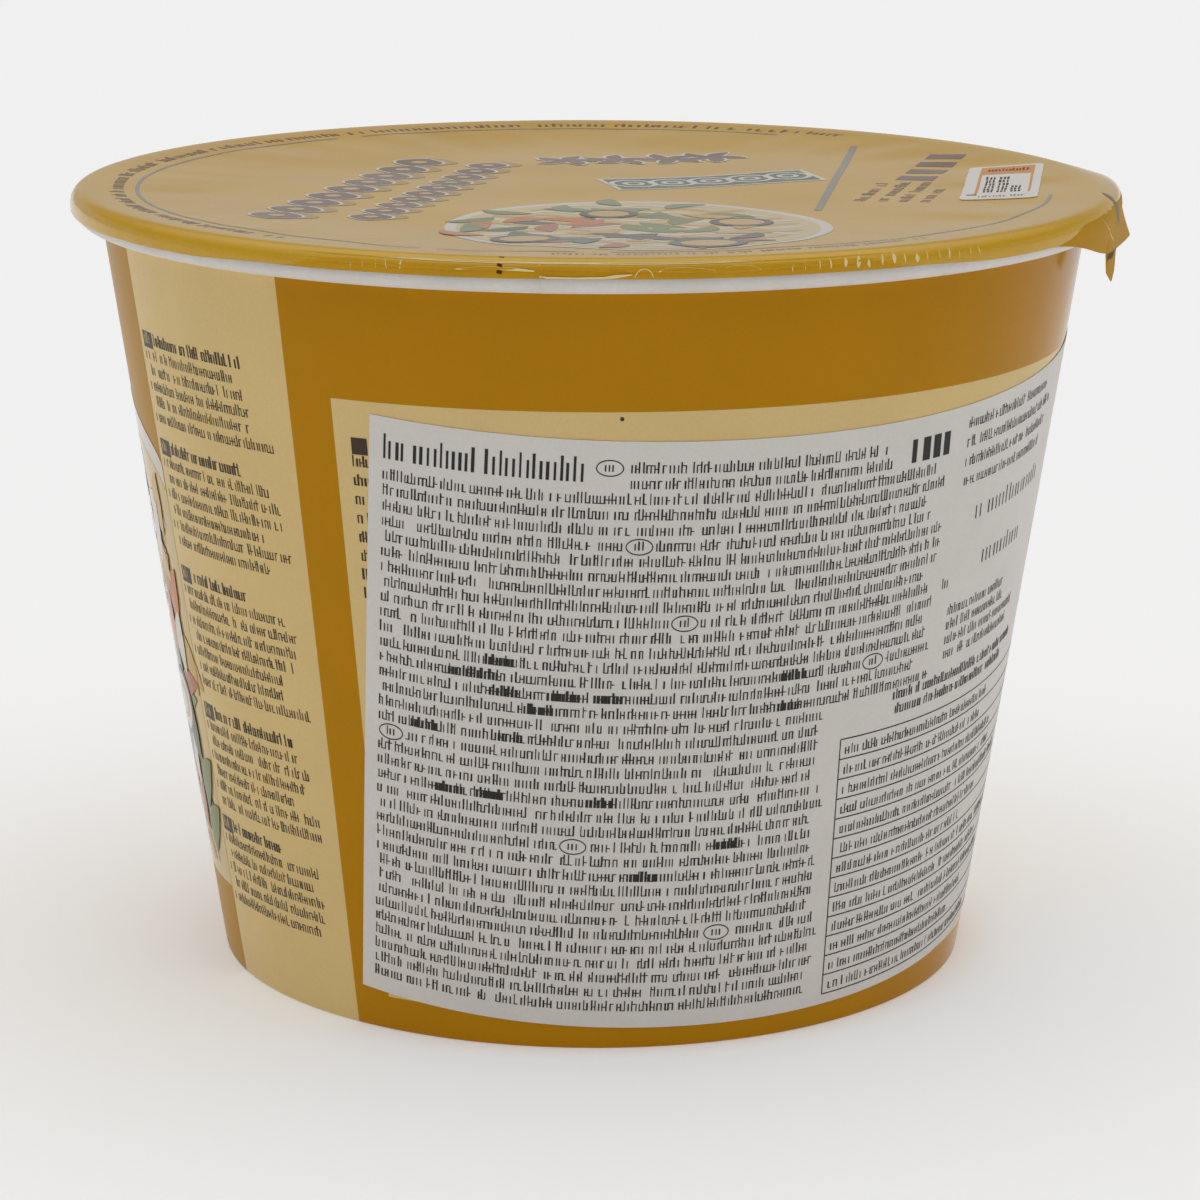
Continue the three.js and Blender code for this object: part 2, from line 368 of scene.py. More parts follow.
sealLines = (  # where the seal to the brim ends in front, drawn as painted highlight lines: turn, degrees over the brim, width
    ((-47.5, 66, 0.1), (-44.8, 59, 0.3), (-42.0, 61, 0.34), (-39.7, 65, 0.15)),
    ((-39.2, 78, 0.1), (-38.5, 82, 0.2), (-36.0, 83, 0.18), (-33.0, 82, 0.28), (-31.8, 78, 0.42),
     (-30.2, 73, 0.1)),
    ((-27.6, 66, 0.1), (-26.8, 60, 0.3), (-25.0, 59, 0.35), (-23.2, 63, 0.3), (-22.0, 66, 0.1)),
    ((-21.0, 60, 0.1), (-20.0, 57, 0.3), (-18.4, 60, 0.4), (-17.4, 66, 0.1)),
)


def cutFine(line, step):  # a line of places and widths, cut into short steps
    points = []
    for a, b in zip(line, line[1:]):
        cuts = max(1, math.ceil(math.dist(a[:2], b[:2]) / step))
        points += [between(a, b, i / cuts) for i in range(cuts)]
    return points + [line[-1]]


def creaseAt(turn):  # where the seal to the brim ends, in degrees of the turn over the brim
    known = [point for line in sealLines for point in line]
    for a, b in zip(known, known[1:]):
        if a[0] <= turn < b[0]:
            return mix(a[1], b[1], (turn - a[0]) / (b[0] - a[0]))
    uneven = (size * ringWave(turn, cycles, layer) for size, cycles, layer in lidSizes["sealWaves"])
    return sum(uneven, lidSizes["sealAt"])


def crimpAt(turn):
    s = lidSizes
    away = 1 - tabShare(turnFrom(turn, tab["middle"]))
    gathered = smooth(ringWave(turn, s["crimpGroups"], 6.0) * 4 - 0.2) * away
    return s["crimps"] * gathered * max(0.0, ringWave(turn, s["crimpCycles"], 5.0))


def skirtEnd(turn):  # where the cut edge lies, in degrees of the turn over the brim
    s = lidSizes
    aside = abs(turnFrom(turn, -photoTurn))
    longer = s["longerBy"] * smooth((aside - s["longerFrom"]) / s["longerOver"])
    shorter = s["shorterBy"] * math.exp(-((turn - s["shorterAt"]) / s["shorterSpread"]) ** 2)
    return s["skirtTurn"] + longer - shorter + s["ragged"] * ringWave(turn, s["raggedCycles"], 7.0)


def skirtPoint(turn, s):  # s from 0 where the lid starts to turn down to 1 at its cut edge
    z = lidSizes
    degrees = mix(z["skirtStart"], skirtEnd(turn), s)
    a = math.radians(90 - degrees)
    squarer = 1 + z["shoulder"] * math.sin(2 * math.radians(min(90, degrees))) ** 2
    sharp = sharpness(turn)
    ridge = z["ridge"] * sharp * math.exp(-((degrees - z["ridgeAt"]) / z["ridgeSpread"]) ** 2)
    pressed = smooth((degrees - creaseAt(turn)) / z["sealOver"])
    sealed = z["sealStep"] * sharp * pressed * smooth((z["sealEnds"] - degrees) / z["sealFade"])
    crimp = crimpAt(turn) * smooth((degrees - z["crimpFrom"]) / z["crimpOver"])
    radius = lidBend * squarer + ridge - sealed - crimp
    return brimMiddle + radius * math.cos(a), brimLevel + radius * math.sin(a)


def flapLength(angle):  # a strip with a point a little to the back of its middle
    u = (angle - flap["angle"]) / flap["halfWidth"]
    if abs(u) >= 1:
        return 0.0
    past = u - flap["peak"]
    point = 1 - max(-past / (1 + flap["peak"]), past / (1 - flap["peak"]))
    sides = min(1.0, flap["steepness"] * (1 - abs(u)))
    return flap["length"] * sides * mix(flap["shoulders"], 1.0, max(0.0, point))


def tabHang(angle, s):  # how far the sheet has turned down and hangs, its length and the flap's share of it
    share = tabShare(angle)
    across = min(1.0, max(0.0, (angle - tab["frontCorner"]) / (tab["backCorner"] - tab["frontCorner"])))
    tip = flapLength(angle)
    drop = share * mix(tab["frontDrop"], tab["backDrop"], across ** 2) + tip
    bend = mix(1.0, tab["bendShare"], share)
    turned = min(1.0, s / bend)
    hung = max(0.0, (s - bend) / (1 - bend)) if bend < 1 else 0.0
    fallen = max(0.0, drop * hung - (drop - tip)) / tip if tip > 0 else 0.0
    return share, across, turned, hung, drop, fallen


def edgePoint(turn, s):
    angle = turnFrom(turn, tab["middle"])
    share, across, turned, hung, drop, fallen = tabHang(angle, s)
    early = smooth(turned / tab["levelUntil"])  # the sheet runs on level before it turns down
    spread = tab["lift"] * early + (1 - tab["lift"]) * hung
    flare = share * tab["reach"] * across ** tab["flareGrowth"] * spread
    tuck = share ** 3 * tab["tuck"] * max(0.0, tab["fold"] - angle) * hung
    sag = share * across * tab["sag"] * early * (1 - hung)
    radius, level = skirtPoint(turn, turned)
    return polar(turn, radius + flare - tuck, level - drop * hung - sag)


def lidInk(turn, t):  # 0 glossy film, 2 duller film on the tab, darkened as painted shade, 4 painted shade at the top of its folded corner, 6 sealed film
    angle = turnFrom(turn, tab["middle"])
    share, across, turned, hung, drop, fallen = tabHang(angle, max(0.0, t - 1))
    if turned < mix(1.01, tab["creasedFrom"], max(sharpness(turn), smooth(share / tab["creasedOver"]))):
        return 0
    if share == 0:
        return 6
    u = (angle - flap["angle"]) / flap["halfWidth"]
    # ink 4 is painted shade, a dark patch where the fold shades the top of the folded corner
    return 4 if 0 < fallen < flap["shade"] * (1 - flap["shadeSlope"] * (u + 1)) else 2


def lidSkin(turn, t):
    if t > 1:
        return edgePoint(turn, t - 1)
    point = polar(turn, lidReach * t, 0)
    point.z = lidLevel(point.x, point.y)
    return point


def edgeSteps():  # rows of the edge, closer together at the shoulder and the seal
    count = 400
    dense = []
    for i in range(count):
        degrees = i / count * lidSizes["skirtTurn"]
        dense.append(sum((closer * math.exp(-((degrees - at) / spread) ** 2)
                          for closer, at, spread in lidSizes["rowCrowds"]), 1))
    total, steps, done = sum(dense), [], 0.0
    for i, part in enumerate(dense):
        done += part / total * lidSizes["edgeRows"]
        if done >= len(steps) + 1 - 1e-6:
            steps.append((i + 1) / count)
    return steps[:-1] + [1.0]


def lidTurns():
    turns, turn = [], tab["middle"] + tab["frontRoot"] - 1
    start = turn
    while turn < start + 360 - 0.1:
        turns.append(turn)
        onTab = turn < tab["middle"] + tab["backRoot"] + 1
        turn += lidSizes["tabStep"] if onTab else lidSizes["turnStep"]
    return turns


def makeLid():
    turns = lidTurns()
    dishRows = lidSizes["dishRows"]
    outer = [(i + 1) / dishRows for i in range(dishRows)] + [1 + s for s in edgeSteps()]
    points = [lidSkin(turn, t) for t in outer for turn in turns] + [lidSkin(0, 0)]
    faces = gridFaces(len(outer), len(turns), True) + fanFaces(len(points) - 1, len(turns))
    inks = [lidInk(turn, t) for t in outer[1:] for turn in turns] + [0] * len(turns)
    # each skin is followed by the side behind it
    skins = [lidOchre, lidUnder, lidCreasedShaded, lidUnder, lidFoldShade, lidFoldShade, lidSeal, lidUnder]
    piece = makePiece("film_lid", points, faces, skins, inks, sharpAngle=70, replaced="lid")
    thicken(piece, lidSizes["thickness"], 1)
    return piece


makeLid()


# The wall label

labelSizes = {
    "width": 134.8, "height": 84.2, "middle": 45.15, "tilt": 2.6, "raised": 0.4,
    "bowFrom": 40.0, "bow": 0.00026,  # its right part bows down
    "lift": 0.1, "thickness": 0.06, "columns": 96, "rows": 48, "ripple": 0.02, "rippleMm": 16.0,
}


def onLabel(x, y, lift=0.0):  # x right and y up from the print's lower left corner, bowed down to the right
    s = labelSizes
    a = math.radians(s["tilt"])
    u, v = x - s["width"] / 2, y - s["height"] / 2
    v -= s["bow"] * max(0.0, x - s["bowFrom"]) ** 2
    ripple = s["ripple"] * wave(x / s["rippleMm"], y / s["rippleMm"], 9.0)
    across, up = u * math.cos(a) - v * math.sin(a), s["middle"] + u * math.sin(a) + v * math.cos(a)
    return onUnrolledWall(across, up, s["lift"] + ripple + lift)


def makeLabel():
    s = labelSizes
    rows, columns = s["rows"] + 1, s["columns"] + 1
    points = [onLabel(s["width"] * c / (columns - 1), s["raised"] + s["height"] * (1 - r / (rows - 1)))
              for r in range(rows) for c in range(columns)]
    piece = makePiece("wall_label", points, gridFaces(rows, columns, False), [labelWhite],
                      replaced="label")
    thicken(piece, labelSizes["thickness"])
    return piece


makeLabel()


# Print: flat shapes and rows of strokes, laid on the surfaces

inkHex = {
    "black": "#2a2622", "brown": "#6e3f20", "grey": "#8d8676", "white": "#ddd5c6", "cream": "#d8bd84",
    "sand": "#cfa759", "orange": "#c8742a", "red": "#b0613a", "green": "#7c8648", "darkGreen": "#4b5d44",
    # glint is painted highlight, laid along the lid's bends and folds
    "dark": "#4f4133", "shade": "#b08a3c", "glint": "#f0dca4", "mark": "#5a3415", "peach": "#d89a5e",
}
inkGrounds = {
    "labelPaper": "label paper", "varnishedBoard": "board",
    "lidFilm": "lid film", "creasedFilm": "creased film",
}
inkShelf = {}


def inkOf(colour, finish):
    name = colour + " ink on " + inkGrounds[finish]
    if name not in inkShelf:
        inkShelf[name] = printedPaper(name, inkHex[colour], finish)
    return inkShelf[name]


def newSheet(finish):
    return {"points": [], "faces": [], "inks": [], "materials": [], "finish": finish}


def addPatch(sheet, place, flat, faces, colour, lift):
    material = inkOf(colour, sheet["finish"])
    if material not in sheet["materials"]:
        sheet["materials"].append(material)
    a, b, c = (flat[i] for i in faces[0][:3])
    if (b[0] - a[0]) * (c[1] - a[1]) < (b[1] - a[1]) * (c[0] - a[0]):
        faces = [face[::-1] for face in faces]
    first = len(sheet["points"])
    sheet["points"] += [place(x, y, lift) for x, y in flat]
    sheet["faces"] += [tuple(first + i for i in face) for face in faces]
    sheet["inks"] += [sheet["materials"].index(material)] * len(faces)


def finishSheet(sheet, name):
    return makePiece(name, sheet["points"], sheet["faces"], sheet["materials"], sheet["inks"])


def addRibbon(sheet, place, path, widths, colour, lift):  # a band along a path, with a width at each point
    flat = []
    across = max(1, math.ceil(max(widths))) + 1
    for i, (x, y) in enumerate(path):
        before, after = path[max(0, i - 1)], path[min(len(path) - 1, i + 1)]
        dx, dy = after[0] - before[0], after[1] - before[1]
        length = math.hypot(dx, dy) or 1
        for k in range(across):
            aside = widths[i] * (0.5 - k / (across - 1))
            flat.append((x - dy / length * aside, y + dx / length * aside))
    addPatch(sheet, place, flat, gridFaces(len(path), across, False), colour, lift)


def addBar(sheet, place, start, end, width, colour, lift):
    cuts = max(1, math.ceil(math.dist(start, end) / 2))
    path = [between(start, end, i / cuts) for i in range(cuts + 1)]
    addRibbon(sheet, place, path, [width] * len(path), colour, lift)


def addLine(sheet, place, line, scale, step, colour, lift):  # a line that gives its own width at each point
    fine = cutFine(line, step)
    path = [(x * scale[0], y * scale[1]) for x, y, width in fine]
    addRibbon(sheet, place, path, [width for x, y, width in fine], colour, lift)


def addArc(sheet, place, centre, radius, width, start, end, colour, lift, squash=1.0):
    cuts = max(3, math.ceil(abs(end - start) / 360 * max(20, radius * 3)))
    path = []
    for i in range(cuts + 1):
        a = math.radians(mix(start, end, i / cuts))
        path.append((centre[0] + radius * math.cos(a), centre[1] + squash * radius * math.sin(a)))
    addRibbon(sheet, place, path, [width] * len(path), colour, lift)


def addDisc(sheet, place, centre, radius, colour, lift, squash=1.0, lobes=0, lobeDepth=0.0):
    rings = max(1, math.ceil(radius / 2))
    sides = max(16, math.ceil(radius * 3))
    flat = []
    for ring in range(1, rings + 1):
        for i in range(sides):
            a = math.tau * i / sides
            r = radius * ring / rings * (1 + lobeDepth * math.sin(lobes * a))
            flat.append((centre[0] + r * math.cos(a), centre[1] + squash * r * math.sin(a)))
    faces = gridFaces(rings, sides, True)
    flat.append(centre)
    faces += fanFaces(len(flat) - 1, sides)
    addPatch(sheet, place, flat, [faces[-1]] + faces[:-1] if rings == 1 else faces, colour, lift)


def addLeaf(sheet, place, root, turn, length, width, colour, lift, bow=0.15):
    a = math.radians(turn)
    path, widths = [], []
    cuts = 16
    for i in range(cuts + 1):
        u = i / cuts
        along, aside = u * length, bow * length * math.sin(math.pi * u)
        path.append((root[0] + along * math.cos(a) - aside * math.sin(a),
                     root[1] + along * math.sin(a) + aside * math.cos(a)))
        widths.append(max(0.05, width * math.sin(math.pi * min(0.98, u * 0.97 + 0.02)) ** 0.8))
    addRibbon(sheet, place, path, widths, colour, lift)


strokeSteps = (  # name, operation, terms; a draw's terms are its ends, its layer and what it is drawn for
    ("column", "MODULO", "index", "Columns"), ("rowsDone", "DIVIDE", "index", "Columns"),
    ("row", "FLOOR", "rowsDone"), ("jitter", "draw", -0.15, 0.15, 1),
    ("shake", "MULTIPLY", "Pitch", "jitter"), ("along", "MULTIPLY", "column", "Pitch"),
    ("x", "ADD", "along", "shake"), ("depth", "MULTIPLY", "row", "RowPitch"),
    ("y", "MULTIPLY", "depth", -1.0), ("count", "MULTIPLY", "Columns", "Rows"),
    ("short", "draw", 0.0, 1.0, 2, "row"), ("cut", "MULTIPLY", "Ragged", "short"),
    ("left", "SUBTRACT", 1.0, "cut"), ("rowEnd", "MULTIPLY", "Columns", "left"),
    ("inRow", "LESS_THAN", "column", "rowEnd"), ("luck", "draw", 0.0, 1.0, 3),
    ("inked", "GREATER_THAN", "luck", "Gaps"), ("kept", "MULTIPLY", "inked", "inRow"),
    ("growth", "draw", 0.0, 1.0, 4), ("isTall", "GREATER_THAN", "growth", 0.72),
    ("extra", "MULTIPLY", 0.38, "isTall"), ("tall", "ADD", 1.0, "extra"),
    ("stemHeight", "MULTIPLY", "Height", "tall"), ("breadth", "draw", 0.75, 1.3, 5),
    ("stemWidth", "MULTIPLY", "Width", "breadth"), ("pick", "draw", -0.49, 2.49, 6),
    ("step", "ROUND", "pick"), ("level", "MULTIPLY", "step", 0.44), ("barX", "MULTIPLY", "Pitch", 0.5),
    ("barY", "MULTIPLY", "Height", "level"), ("chance", "draw", 0.0, 1.0, 7),
    ("joins", "LESS_THAN", "chance", "Bars"), ("barred", "MULTIPLY", "kept", "joins"),
    ("barWidth", "MULTIPLY", "Pitch", 0.9), ("barHeight", "MULTIPLY", "Height", 0.13),
)


def makeStrokeTree():  # rows of short upright strokes with gaps, ragged ends and joining bars
    tree = bpy.data.node_groups.new("rows of print strokes", "GeometryNodeTree")
    tree.interface.new_socket("Geometry", in_out="OUTPUT", socket_type="NodeSocketGeometry")
    kinds = {"Columns": "Int", "Rows": "Int", "Pitch": "Float", "RowPitch": "Float", "Width": "Float",
             "Height": "Float", "Gaps": "Float", "Ragged": "Float", "Bars": "Float",
             "Seed": "Int", "Ink": "Material"}
    sockets = {}
    for name, kind in kinds.items():
        socket = tree.interface.new_socket(name, in_out="INPUT", socket_type="NodeSocket" + kind)
        sockets[name] = socket.identifier
    given = addNode(tree, "NodeGroupInput").outputs
    made = {name: given[name] for name in kinds}
    made["index"] = addNode(tree, "GeometryNodeInputIndex").outputs[0]
    for name, operation, *terms in strokeSteps:
        terms = [made[term] if isinstance(term, str) else term for term in terms]
        if operation == "draw":
            low, high, layer, *ident = terms
            seed = addNode(tree, "ShaderNodeMath", {0: given["Seed"], 1: layer}, operation="ADD").outputs[0]
            links = {2: low, 3: high, 8: seed, **({7: ident[0]} if ident else {})}
            made[name] = addNode(tree, "FunctionNodeRandomValue", links, data_type="FLOAT").outputs[1]
        else:
            node = addNode(tree, "ShaderNodeMath", dict(enumerate(terms)), operation=operation)
            made[name] = node.outputs[0]
    vectors = (("at", "x", "y", 0.0), ("stem", "stemWidth", "stemHeight", 1.0),
               ("shift", "barX", "barY", 0.0), ("bar", "barWidth", "barHeight", 1.0))
    for name, x, y, z in vectors:
        made[name] = addNode(tree, "ShaderNodeCombineXYZ", {"X": made[x], "Y": made[y], "Z": z}).outputs[0]
    points = addNode(tree, "GeometryNodePoints", {"Count": made["count"], "Position": made["at"]}).outputs[0]
    moved = addNode(tree, "GeometryNodeSetPosition", {"Geometry": points, "Offset": made["shift"]}).outputs[0]
    unit = addNode(tree, "GeometryNodeMeshGrid", {
        "Size X": 1.0, "Size Y": 1.0, "Vertices X": 2, "Vertices Y": 2}).outputs[0]
    raised = {"Geometry": unit, "Translation": (0.0, 0.5, 0.0)}
    foot = addNode(tree, "GeometryNodeTransform", raised).outputs[0]
    joined = addNode(tree, "GeometryNodeJoinGeometry")
    for places, chosen, size in ((points, "kept", "stem"), (moved, "barred", "bar")):
        copies = addNode(tree, "GeometryNodeInstanceOnPoints", {
            "Points": places, "Selection": made[chosen], "Instance": foot, "Scale": made[size]})
        tree.links.new(copies.outputs[0], joined.inputs[0])
    real = addNode(tree, "GeometryNodeRealizeInstances", {"Geometry": joined.outputs[0]}).outputs[0]
    inked = addNode(tree, "GeometryNodeSetMaterial", {"Geometry": real, "Material": given["Ink"]}).outputs[0]
    addNode(tree, "NodeGroupOutput", {"Geometry": inked})
    return tree, sockets


strokeTree, strokeSockets = makeStrokeTree()
strokeUsual = {
    "Pitch": 0.5, "RowPitch": 2.15, "Width": 0.2, "Height": 1.12, "Gaps": 0.12, "Ragged": 0.05, "Bars": 0.5,
}
fullRow = {"Gaps": 0.0, "Ragged": 0.0, "Bars": 0.0}  # a short row of plain strokes


def addStrokes(sheet, place, corner, columns, rows, colour, lift, seed, clear=(), **changed):
    settings = {**strokeUsual, **changed, "Columns": columns, "Rows": rows, "Seed": seed,
                "Ink": inkOf(colour, sheet["finish"])}
    helper = addObject("strokes", bpy.data.meshes.new("strokes"))
    modifier = helper.modifiers.new("strokes", "NODES")
    modifier.node_group = strokeTree
    for name, value in settings.items():
        modifier[strokeSockets[name]] = value
    mesh = bakedMesh(helper)
    helper.modifiers.remove(modifier)
    flat, faces = [], []
    for face in mesh.polygons:
        corners = [mesh.vertices[i].co for i in face.vertices]
        x = sum(c.x for c in corners) / len(corners) + corner[0]
        y = sum(c.y for c in corners) / len(corners) + corner[1]
        if any(left < x < right and low < y < high for left, low, right, high in clear):
            continue
        faces.append(tuple(range(len(flat), len(flat) + len(corners))))
        flat += [(c.x + corner[0], c.y + corner[1]) for c in corners]
    bpy.data.meshes.remove(mesh)
    bpy.data.objects.remove(helper)
    if faces:
        addPatch(sheet, place, flat, faces, colour, lift)


# Print on the label

wideRow = {"Pitch": 1.1, "Gaps": 0.12, "Ragged": 0.0, "Bars": 0.0, "Width": 0.3, "Height": 1.9}
labelPrint = {
    "rowPitch": 2.15, "left": 2.2, "top": 76.0, "lift": 0.025,
    "heavyGroups": 16, "heavyEnd": 58, "heavyRows": 34,
    "leftColumn": (  # heading, first two rows, then the long block that narrows beside the table
        ((2.2, 78.9), 31, 1, 3, {**wideRow, "Pitch": 0.88, "Width": 0.36, "Height": 2.5, "Gaps": 0.1}),
        ((35.0, 80.3), 76, 2, 5, {}),
        ((2.2, 76.0), 161, 15, 7, {}),
        ((2.2, 43.75), 126, 20, 8, {}),
    ),
    "badgeSize": (1.75, 0.62), "badgeLine": 0.16, "badgeClear": (2.2, 1.3), "firstBadge": 32.2,
    "badges": ((36.5, 3), (43.0, 8), (71.5, 12), (4.0, 17), (29.7, 23), (49.8, 29)),  # place along a row, row
    "stoutBars": (1.2, 1.9, 1.9, 1.7), "stoutAt": (75.6, 80.0), "stoutPitch": 2.0, "stoutHeight": 3.3,
    "rightColumn": (  # place, strokes in a row, rows, seed, changed settings
        ((86.8, 81.2), 55, 4, 11, {"Ragged": 0.15, "RowPitch": 2.76}),
        ((90.5, 67.3), 20, 1, 13, wideRow),
        ((93.8, 60.0), 12, 1, 15, wideRow),
        ((84.2, 58.5), 3, 1, 17, fullRow),
        ((86.0, 54.2), 44, 4, 19, {"Ragged": 0.35}),
        ((76.0, 44.2), 70, 2, 21, {"Ragged": 0.2, "Width": 0.27}),
    ),
    "tableEdges": (67.0, 117.0, 132.4), "tableTop": 40.2, "tableFoot": 1.9, "tableRows": 13,
    "ruleWidth": 0.18,
    "tableStrokes": ((68.0, 92, 23), (118.5, 18, 24)),  # left end, strokes in a row, seed
}


def printLabel():
    p = labelPrint
    sheet = newSheet("labelPaper")
    pitch, top, lift = p["rowPitch"], p["top"], p["lift"]
    badges = [(p["firstBadge"], top + 4.9), *((x, top - row * pitch + 0.6) for x, row in p["badges"])]
    clearX, clearY = p["badgeClear"]
    clear = [(x - clearX, y - clearY, x + clearX, y + clearY) for x, y in badges]
    for x, y in badges:  # small ovals that start a new paragraph
        radius, squash = p["badgeSize"]
        addArc(sheet, onLabel, (x, y), radius, p["badgeLine"], 0, 360, "black", lift, squash)
        addStrokes(sheet, onLabel, (x - 0.55, y - 0.45), 3, 1, "black", lift, 50 + int(x),
                   Height=0.9, **fullRow)
    for at, columns, rows, seed, changed in p["leftColumn"]:
        addStrokes(sheet, onLabel, at, columns, rows, "black", lift, seed, clear, **changed)
    for i in range(p["heavyGroups"]):  # a few heavier groups of strokes
        x = mix(p["left"] + 4, p["heavyEnd"], abs(wave(i * 3.7, 1.5)) * 1.6 % 1)
        row = int(p["heavyRows"] * (0.5 + 0.5 * wave(i * 5.3, 8.2)))
        addStrokes(sheet, onLabel, (x, top - row * pitch), 9, 1, "black", lift + 0.01, 90 + i, clear,
                   Gaps=0.0, Ragged=0.3, Width=0.34)
    for i, width in enumerate(p["stoutBars"]):  # right column
        x, y = p["stoutAt"][0] + i * p["stoutPitch"], p["stoutAt"][1]
        addBar(sheet, onLabel, (x, y), (x + width * 0.72, y), p["stoutHeight"], "black", lift)
    for at, columns, rows, seed, changed in p["rightColumn"]:
        addStrokes(sheet, onLabel, at, columns, rows, "black", lift, seed, **changed)
    foot, head, rows, edges = p["tableFoot"], p["tableTop"], p["tableRows"], p["tableEdges"]
    for row in range(rows + 1):  # ruled table
        y = mix(foot, head, row / rows)
        addBar(sheet, onLabel, (edges[0], y), (edges[-1], y), p["ruleWidth"], "black", lift)
    for x in edges:
        addBar(sheet, onLabel, (x, foot), (x, head), p["ruleWidth"], "black", lift)
    rowHeight = (head - foot) / rows
    for x, columns, seed in p["tableStrokes"]:
        addStrokes(sheet, onLabel, (x, head - 0.78 * rowHeight), columns, rows, "black", lift, seed,
                   Ragged=0.4, RowPitch=rowHeight, Height=1.05)
    finishSheet(sheet, "label_print")


printLabel()


# Print on the wall

wallPrint = {
    "panelStart": 71.6, "panelEnd": 99.2, "rowPitch": 2.2, "lift": 0.03,
    "panelBlocks": ((92.5, 6), (77.3, 7), (59.2, 8), (39.3, 7), (22.6, 6)),  # level of the first row, rows
    "badgeSize": (3.4, 2.3), "headPitch": 0.56, "textPitch": 0.5,
    "marginTurn": -62.2, "marginBar": ((0, 84.2), (2.4, 84.2), 2.3), "marginRows": ((0.1, 81.4), 5, 8),
    "speckTurn": -30.75, "speckLevel": 89.5, "speckRadius": 0.28,
}
picture = {  # the field of leaves on the far side
    "from": 100.3, "to": 259.7, "foot": 13.0, "ends": 75.0, "rise": 16.0, "columns": 107, "rows": 41,
    "rim": (("white", 0.0, 3.4), ("sand", 3.4, 4.2)),  # colour and drop from the field's upper edge
    "scallop": 8.0, "scallopRows": 8, "scallopTop": 77.0, "scallopLine": 0.9,
    "leafCount": 130, "leafSize": (11.0, 4.0), "leafMargin": 7, "leafLevels": (25, 45),  # lowest, spread
    "leafRatios": (0.7549, 0.5698, 0.618), "upperFrom": 48, "sliceCount": 8, "sliceLevels": (28, 32),
    "endLeafCount": 22, "endLeafSize": (9.0, 4.2), "endLevels": (17, 66), "endUpperFrom": 44,
    "slice": ((5.0, "dark", 0.2), (4.2, "white", 0.21), (2.7, "sand", 0.22), (1.9, "white", 0.23)),
    "upperInks": ("sand", "orange", "white", "sand", "red", "orange"),
    "lowerInks": ("green", "darkGreen", "white", "green", "sand", "red"),
}


def panelPlace(start):  # x runs to the right along the wall from a turn, y is the height
    def place(x, y, lift):
        return onWall(start + math.degrees(x / wallRadius(y)), y, lift)
    return place


def printWall():
    p = wallPrint
    sheet = newSheet("varnishedBoard")
    lift = p["lift"]
    for start, seed in ((-p["panelEnd"], 31), (p["panelStart"], 61)):
        place = panelPlace(start)
        for number, (top, rows) in enumerate(p["panelBlocks"]):
            width = math.radians(p["panelEnd"] - p["panelStart"]) * wallRadius(top - 8) - 1.0
            badgeWidth, badgeHeight = p["badgeSize"]
            addBar(sheet, place, (0, top + 0.6), (badgeWidth, top + 0.6), badgeHeight, "dark", lift)
            addStrokes(sheet, place, (0.7, top + 0.1), 4, 1, "cream", lift + 0.03, seed + number, **fullRow)
            addStrokes(sheet, place, (4.1, top), int((width - 7) / p["headPitch"]), 1, "dark", lift,
                       seed + 10 + number, Pitch=p["headPitch"], Ragged=0.35, Width=0.34, Height=1.25)
            columns = int(width / p["textPitch"]) - 3
            addStrokes(sheet, place, (1.4, top - p["rowPitch"]), columns, rows - 1, "dark", lift,
                       seed + 20 + number, Ragged=0.2, RowPitch=p["rowPitch"])
            for row in range(1, rows, 2):
                addStrokes(sheet, place, (0.2, top - p["rowPitch"] * row), 1, 1, "dark", lift, 5, **fullRow)
    margin = panelPlace(p["marginTurn"])  # lines that run under the label at the box's edge
    addBar(sheet, margin, *p["marginBar"], "dark", lift)
    addStrokes(sheet, margin, *p["marginRows"], "dark", lift, 41, Ragged=0.5, RowPitch=2.6, Width=0.28)
    speck = panelPlace(p["speckTurn"])  # a speck of dirt
    addDisc(sheet, speck, (0, p["speckLevel"]), p["speckRadius"], "dark", lift)
    finishSheet(sheet, "panel_print")


